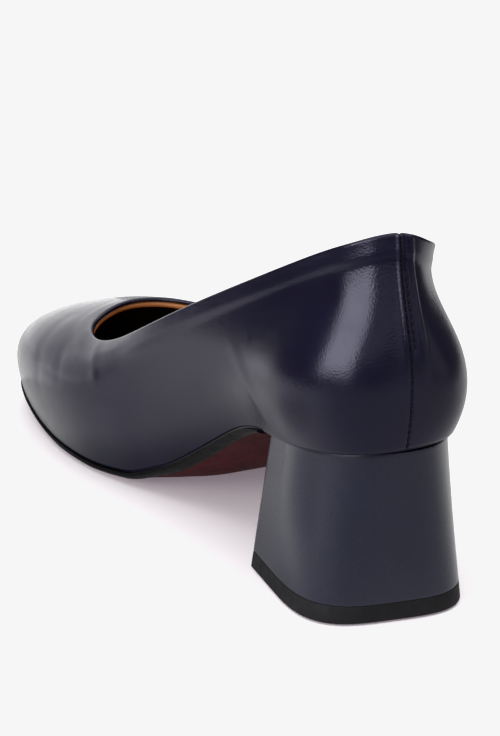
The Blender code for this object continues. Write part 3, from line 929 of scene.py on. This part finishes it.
def make_stitches():
    """The thread in the back seam's grooves and the tack that closes them at the top."""
    mesh = bmesh.new()
    for place, depth, _, from_z in GROOVES:
        line, along, out, travelled = seam_line(place)
        for start in np.arange(FIRST_STITCH, travelled[-1] - STITCH_LENGTH, STITCH_LENGTH + STITCH_GAP):
            k = np.searchsorted(travelled, start + STITCH_LENGTH / 2)
            if line[k, 2] >= from_z + STITCHES_ABOVE:
                lie = line[k] - out[k] * (depth - STITCH_WIDTH * STITCH_RISE)
                lay_stitch(mesh, lie, along[k], out[k], STITCH_LENGTH, STITCH_WIDTH)
    sides = [seam_line(place) for place in TACK_EDGES]
    for n, below in enumerate(np.arange(TACK_STEP, TACK_REACH, TACK_STEP)):
        (line, _, out, travelled), (other, _, _, other_travelled) = sides[n % 2], sides[(n + 1) % 2]
        k = np.searchsorted(travelled, travelled[-1] - below)
        j = np.searchsorted(other_travelled, other_travelled[-1] - below - TACK_STEP)
        middle = (line[k] + other[j]) / 2 + out[k] * TACK_PROUD
        across = other[j] - line[k]
        lay_stitch(mesh, middle, across, out[k], np.linalg.norm(across), TACK_WIDTH)
    dress(finish_mesh("seam_stitches", mesh, sharp_angle=80.0), None, None, seam_thread())


# The set: lit paper that the shoe is seen on, and a paper sweep along the line of sight that its leather
# mirrors
FLOOR_SIZE = 30.0
FLOOR_DROP = 0.6
SWEEP_DROP = 0.2
SWEEP_SIDES = (324.0, 420.0)
SWEEP_FAR_RIGHT = 290.0
SWEEP_NEAR = -370.0
SWEEP_FAR = 1300.0
PAPER_WHITE = 0.922
PAPER_GLOW = 0.175

# Brightness of the mirrored paper's glow, with places in metres of the part's frame: painted shade of the
# shoe round a line under it, and painted shade that dims the end behind the heel and a place beside the shoe
SWEEP_BRIGHT = 0.72
SHADE_LINE = (-0.063, 0.03)
SHADE_EDGE = (0.03, 0.052)
SHADE_DEEP = 0.42
SHADE_BEHIND = (-0.16, -0.06)
SHADE_BEHIND_SHARE = 0.5
DIM_PLACE = (-0.011, 0.115)
DIM_EDGE = (0.03, 0.07)
DIM_SHARE = 0.58

# Light: the dome's brightness at the horizon and overhead, and panels, each with its place, the point it
# faces, its width and height, and its brightness
DOME_LOW = 0.05
DOME_BRIGHT = 1.16
DOME_EDGE = (0.35, 0.75)
BACKDROP_WIDTH = 700.0
BACKDROP_HEIGHT = 650.0
BACKDROP_BRIGHT = 0.38
MIRRORED_PANELS = {
    "toe_card": ((292.0, 17.5, 65.0), (190.0, 24.5, 63.0), (116.0, 90.0), 1.05),
    "toe_floor": ((347.0, -18.0, 0.3), (347.0, -18.0, 60.0), (200.0, 200.0), 0.38),
    "flank_card": ((196.0, 57.0, 41.0), (138.0, 23.0, 40.0), (34.0, 33.0), 0.75),
    "front_fill": ((-805.0, 332.0, 308.0), (5.0, 5.0, 90.0), (900.0, 200.0), 0.6),
    "side_fill": ((-525.0, -848.0, 90.0), (5.0, 0.0, 80.0), (700.0, 320.0), 0.25),
    "seam_fill": ((-851.0, -229.0, 215.0), (5.0, 0.0, 90.0), (450.0, 260.0), 0.5),
}
SOFTBOXES = {
    "softbox": ((-142.0, 870.0, 330.0), (10.0, 10.0, 90.0), (700.0, 390.0), 3.1),
    "softbox_rim": ((-143.0, 876.0, 330.0), (10.0, 10.0, 90.0), (880.0, 530.0), 1.8),
}
TOP_LIGHT = ((120.0, 0.0, 1500.0), (120.0, 0.0, 0.0), (2000.0, 2000.0), 1.43)


def on_sweep(along, left, z):
    """A drawing point from distances along the line of sight and to its left, from the camera's target."""
    c, s = math.cos(CAMERA_ROUND), math.sin(CAMERA_ROUND)
    x, y, _ = CAMERA_TARGET
    return (x + along * c + left * s, y - along * s + left * c, z)


def lit_paper():
    """Pale matt paper with a faint pink glow: painted light that keeps the shadows on it soft and tints them
    pink.
    """
    settings = {"Base Color": (0.9, 0.885, 0.89, 1.0), "Roughness": 1.0, "Specular IOR Level": 0.0}
    # Painted light: the pink glow lifts and tints the shadows on the paper
    settings |= {"Emission Color": (1.0, 0.83, 0.98, 1.0), "Emission Strength": PAPER_GLOW}
    return new_finish("lit_paper", settings)[0]


def mirrored_paper():
    """The paper as the leather mirrors it: a bright glow with painted shade round the shoe's foot and dimmer
    places.
    """
    settings = {"Base Color": (0.0, 0.0, 0.0, 1.0), "Roughness": 1.0, "Specular IOR Level": 0.0}
    settings |= {"Emission Color": (1.0, 1.0, 1.0, 1.0)}
    finish, tree, shader = new_finish("mirrored_paper", settings)
    place = object_place(tree)
    x, y, _ = add_node(tree, "ShaderNodeSeparateXYZ", {"Vector": place}).outputs
    past_heel = calculate(tree, "SUBTRACT", SHADE_LINE[0], x)
    past_toe = calculate(tree, "SUBTRACT", x, SHADE_LINE[1])
    past = calculate(tree, "MAXIMUM", calculate(tree, "MAXIMUM", past_heel, past_toe), 0.0)
    away = add_node(tree, "ShaderNodeCombineXYZ", {"X": past, "Y": y}).outputs[0]
    from_line = add_node(tree, "ShaderNodeVectorMath", {0: away}, operation="LENGTH").outputs["Value"]
    deep = SHADE_DEEP * SWEEP_BRIGHT
    round_foot = spread(tree, from_line, deep, SWEEP_BRIGHT, *SHADE_EDGE, passage="SMOOTHSTEP")
    behind = spread(tree, x, SHADE_BEHIND_SHARE, 1.0, *SHADE_BEHIND)
    inputs = {0: place, 1: (*DIM_PLACE, 0.0)}
    from_dim = add_node(tree, "ShaderNodeVectorMath", inputs, operation="DISTANCE").outputs["Value"]
    beside = spread(tree, from_dim, DIM_SHARE, 1.0, *DIM_EDGE, passage="SMOOTHSTEP")
    bright = calculate(tree, "MULTIPLY", calculate(tree, "MULTIPLY", round_foot, behind), beside)
    tree.links.new(bright, shader.inputs["Emission Strength"])
    return finish


def make_floor():
    """The lit paper that the shoe is seen on, and the paper sweep that its leather mirrors."""
    mesh = bmesh.new()
    bmesh.ops.create_grid(mesh, x_segments=2, y_segments=2, size=FLOOR_SIZE / 2)
    bmesh.ops.translate(mesh, verts=mesh.verts, vec=(0.0, 0.0, -FLOOR_DROP * MM))
    floor = finish_mesh("floor", mesh)
    floor.visible_glossy = False
    floor.data.materials.append(lit_paper())
    mesh = bmesh.new()
    left, right = SWEEP_SIDES
    corners = ((SWEEP_NEAR, -right), (SWEEP_FAR, -SWEEP_FAR_RIGHT), (SWEEP_FAR, left), (SWEEP_NEAR, left))
    mesh.faces.new([mesh.verts.new(to_part(on_sweep(*corner, -SWEEP_DROP))) for corner in corners])
    sweep = finish_mesh("paper_sweep", mesh)
    sweep.visible_camera = False
    sweep.visible_diffuse = False
    sweep.visible_shadow = False
    sweep.data.materials.append(mirrored_paper())


def light_dome():
    """A soft dome that leaves the horizon dark."""
    world = bpy.data.worlds.new("studio")
    bpy.context.scene.world = world
    world.use_nodes = True
    tree = world.node_tree
    direction = add_node(tree, "ShaderNodeTexCoord").outputs["Generated"]
    height = add_node(tree, "ShaderNodeSeparateXYZ", {"Vector": direction}).outputs["Z"]
    dome = spread(tree, height, DOME_LOW, DOME_BRIGHT, *DOME_EDGE, passage="SMOOTHSTEP")
    tree.links.new(dome, tree.nodes["Background"].inputs["Strength"])
    tree.nodes["Background"].inputs["Color"].default_value = (1.0, 1.0, 1.0, 1.0)


def add_panel(name, place, aim, size, radiance):
    """A soft panel light that shows in reflections."""
    light = bpy.data.lights.new(name, "AREA")
    light.shape = "RECTANGLE"
    light.size, light.size_y = size[0] * MM, size[1] * MM
    light.energy = radiance * math.pi * light.size * light.size_y
    panel = bpy.data.objects.new(name, light)
    bpy.context.scene.collection.objects.link(panel)
    panel.location = to_part(place)
    panel.rotation_euler = (to_part(aim) - panel.location).to_track_quat("-Z", "Y").to_euler()
    panel.visible_camera = False
    return panel


def light_studio():
    """The dome, the backdrop and panels that are only mirrored, the softboxes and the light from above."""
    light_dome()
    middle, size = BACKDROP_HEIGHT / 2, (BACKDROP_WIDTH, BACKDROP_HEIGHT)
    backdrop = (on_sweep(SWEEP_FAR, 0.0, middle), on_sweep(0.0, 0.0, middle), size, BACKDROP_BRIGHT)
    for name, panel in {"backdrop": backdrop, **MIRRORED_PANELS}.items():
        add_panel(name, *panel).visible_diffuse = False
    for name, panel in SOFTBOXES.items():
        add_panel(name, *panel)
    add_panel("top_light", *TOP_LIGHT).visible_glossy = False


def aim_camera():
    """The photo's camera."""
    lens = bpy.data.cameras.new("camera")
    lens.sensor_width = SENSOR
    lens.lens = FOCAL_PIXELS * SENSOR / IMAGE_LONG_SIDE
    lens.clip_start, lens.clip_end = CLIP_RANGE
    camera = bpy.data.objects.new("camera", lens)
    bpy.context.scene.collection.objects.link(camera)
    flat = math.cos(CAMERA_RAISED)
    back = Vector((-math.cos(CAMERA_ROUND) * flat, math.sin(CAMERA_ROUND) * flat, math.sin(CAMERA_RAISED)))
    camera.location = to_part(CAMERA_TARGET) + back * CAMERA_DISTANCE * MM
    camera.rotation_euler = (-back).to_track_quat("-Z", "Y").to_euler()
    bpy.context.scene.camera = camera


def expose():
    """Plain exposure, with the paper's white held at the photo's."""
    view = bpy.context.scene.view_settings
    view.view_transform = "Standard"
    view.use_curve_mapping = True
    mapping = view.curve_mapping
    mapping.extend = "HORIZONTAL"
    all_channels = mapping.curves[3]
    all_channels.points[1].location = (PAPER_WHITE, PAPER_WHITE)
    for point in all_channels.points:
        point.handle_type = "VECTOR"
    mapping.update()


aim_camera()
make_upper()
make_lining()
make_insole()
make_sole()
make_heel()
make_top_piece()
make_stitches()
make_floor()
light_studio()
expose()
